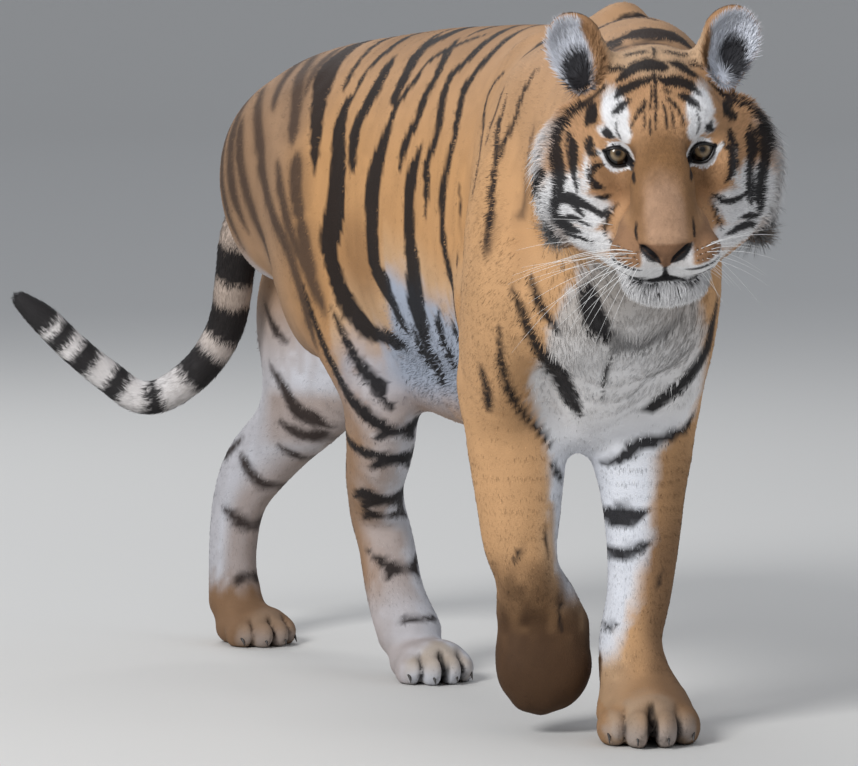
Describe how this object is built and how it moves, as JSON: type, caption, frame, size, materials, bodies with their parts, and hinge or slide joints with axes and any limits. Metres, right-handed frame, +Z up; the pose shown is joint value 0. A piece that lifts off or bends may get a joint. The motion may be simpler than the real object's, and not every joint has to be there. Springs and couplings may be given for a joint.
{
  "type": "tiger figure",
  "caption": "Life-size tiger model, walking with one forepaw lifted, head turned to the front, tail curled to its right; it stands on its planted paws.",
  "frame": {"origin": "middle of the box round the whole animal, at the floor that the paws stand on", "axes": "+Z up, -Y the way the tiger's shoulders head, +X to the tiger's left at its shoulders; the body bends to its right towards the rump"},
  "size_m": [0.7534, 1.7618, 0.986],
  "materials": {
    "coat": "short dense fur, orange-tan with black stripes and white underparts",
    "eye": "wet gloss, amber iris with a round black pupil"
  },
  "bodies": {
    "root": {"torso": "coat", "neck": "coat", "head": "coat", "ear_left": "coat", "ear_right": "coat", "eye_left": "eye", "eye_right": "eye", "foreleg_left": "coat", "forepaw_left": "coat", "foreleg_right": "coat", "forepaw_right": "coat", "thigh_left": "coat", "shank_left": "coat", "hindfoot_left": "coat", "thigh_right": "coat", "shank_right": "coat", "hindfoot_right": "coat", "tail_1": "coat", "tail_2": "coat", "tail_3": "coat", "tail_4": "coat"}
  },
  "joints": []
}
